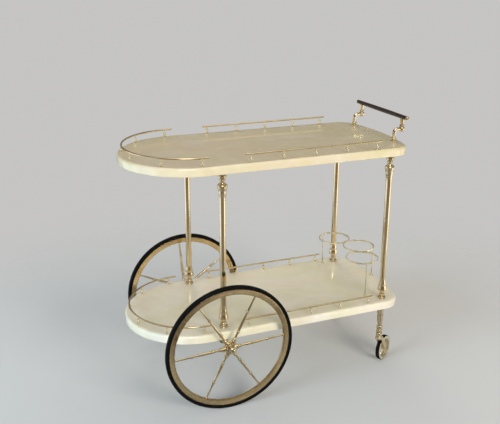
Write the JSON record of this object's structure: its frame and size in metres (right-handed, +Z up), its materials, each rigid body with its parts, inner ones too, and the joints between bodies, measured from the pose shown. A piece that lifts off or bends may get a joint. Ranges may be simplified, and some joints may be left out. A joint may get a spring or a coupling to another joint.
{
  "type": "bar cart",
  "caption": "Two-tray bar cart with cream lacquered trays, turned brass uprights and gallery rails, large spoked wheels, swivel casters, a bottle holder and a push handle.",
  "frame": {"origin": "on the floor, under the middle of the bounding box", "axes": "+X to the handle end, +Z up, +Y to the right-hand side of someone pushing towards -X"},
  "size_m": [0.764, 0.442, 0.7225],
  "materials": {
    "lacquer": "gloss lacquer",
    "brass": "polished",
    "tyre": "matte",
    "dark_wood": "polished"
  },
  "bodies": {
    "cart_frame": {"axle": "brass", "axle_bosses": "brass", "axle_cap_nuts": "brass", "axle_collars": "brass", "bottle_holder_legs": "brass", "bottle_ring_left": "brass", "bottle_ring_middle": "brass", "bottle_ring_right": "brass", "bottom_ferrules": "brass", "caster_legs": "brass", "handle_bar": "dark_wood", "handle_brackets": "brass", "handle_end_caps": "brass", "handle_end_left_upright_tube": "brass", "handle_end_right_upright_tube": "brass", "handle_knuckles": "brass", "lower_tray": "lacquer", "lower_tray_left_rail": "brass", "lower_tray_left_rail_posts": "brass", "lower_tray_nose_rail": "brass", "lower_tray_nose_rail_posts": "brass", "lower_tray_right_rail": "brass", "lower_tray_right_rail_posts": "brass", "tie_rods": "brass", "top_ferrules": "brass", "top_tray": "lacquer", "top_tray_left_rail": "brass", "top_tray_left_rail_posts": "brass", "top_tray_nose_rail": "brass", "top_tray_nose_rail_posts": "brass", "top_tray_right_rail": "brass", "top_tray_right_rail_posts": "brass", "wheel_end_left_upright_tube": "brass", "wheel_end_right_upright_tube": "brass"},
    "left_wheel": {"left_wheel_hub": "brass", "left_wheel_rim": "brass", "left_wheel_spokes": "brass", "left_wheel_tyre": "tyre"},
    "right_wheel": {"right_wheel_hub": "brass", "right_wheel_rim": "brass", "right_wheel_spokes": "brass", "right_wheel_tyre": "tyre"},
    "left_caster_swivel": {"left_caster_fork": "brass", "left_caster_pin": "brass"},
    "left_caster_roller": {"left_caster_tyre": "tyre", "left_caster_wheel": "brass"},
    "right_caster_swivel": {"right_caster_fork": "brass", "right_caster_pin": "brass"},
    "right_caster_roller": {"right_caster_tyre": "tyre", "right_caster_wheel": "brass"}
  },
  "joints": [
    {"name": "left_wheel_spin", "type": "hinge", "parent": "cart_frame", "child": "left_wheel", "pos_m": [-0.1605, -0.1977, 0.172], "axis": [0, 1, 0], "continuous": true},
    {"name": "right_wheel_spin", "type": "hinge", "parent": "cart_frame", "child": "right_wheel", "pos_m": [-0.1605, 0.1977, 0.172], "axis": [0, 1, 0], "continuous": true},
    {"name": "left_caster_turn", "type": "hinge", "parent": "cart_frame", "child": "left_caster_swivel", "pos_m": [0.316, -0.147, 0.0875], "axis": [0, 0, 1], "continuous": true},
    {"name": "left_caster_roll", "type": "hinge", "parent": "left_caster_swivel", "child": "left_caster_roller", "pos_m": [0.34144, -0.1311, 0.0365], "axis": [0.5299, -0.848, 0], "continuous": true},
    {"name": "right_caster_turn", "type": "hinge", "parent": "cart_frame", "child": "right_caster_swivel", "pos_m": [0.316, 0.147, 0.0875], "axis": [0, 0, 1], "continuous": true},
    {"name": "right_caster_roll", "type": "hinge", "parent": "right_caster_swivel", "child": "right_caster_roller", "pos_m": [0.34144, 0.1629, 0.0365], "axis": [0.5299, -0.848, 0], "continuous": true}
  ]
}
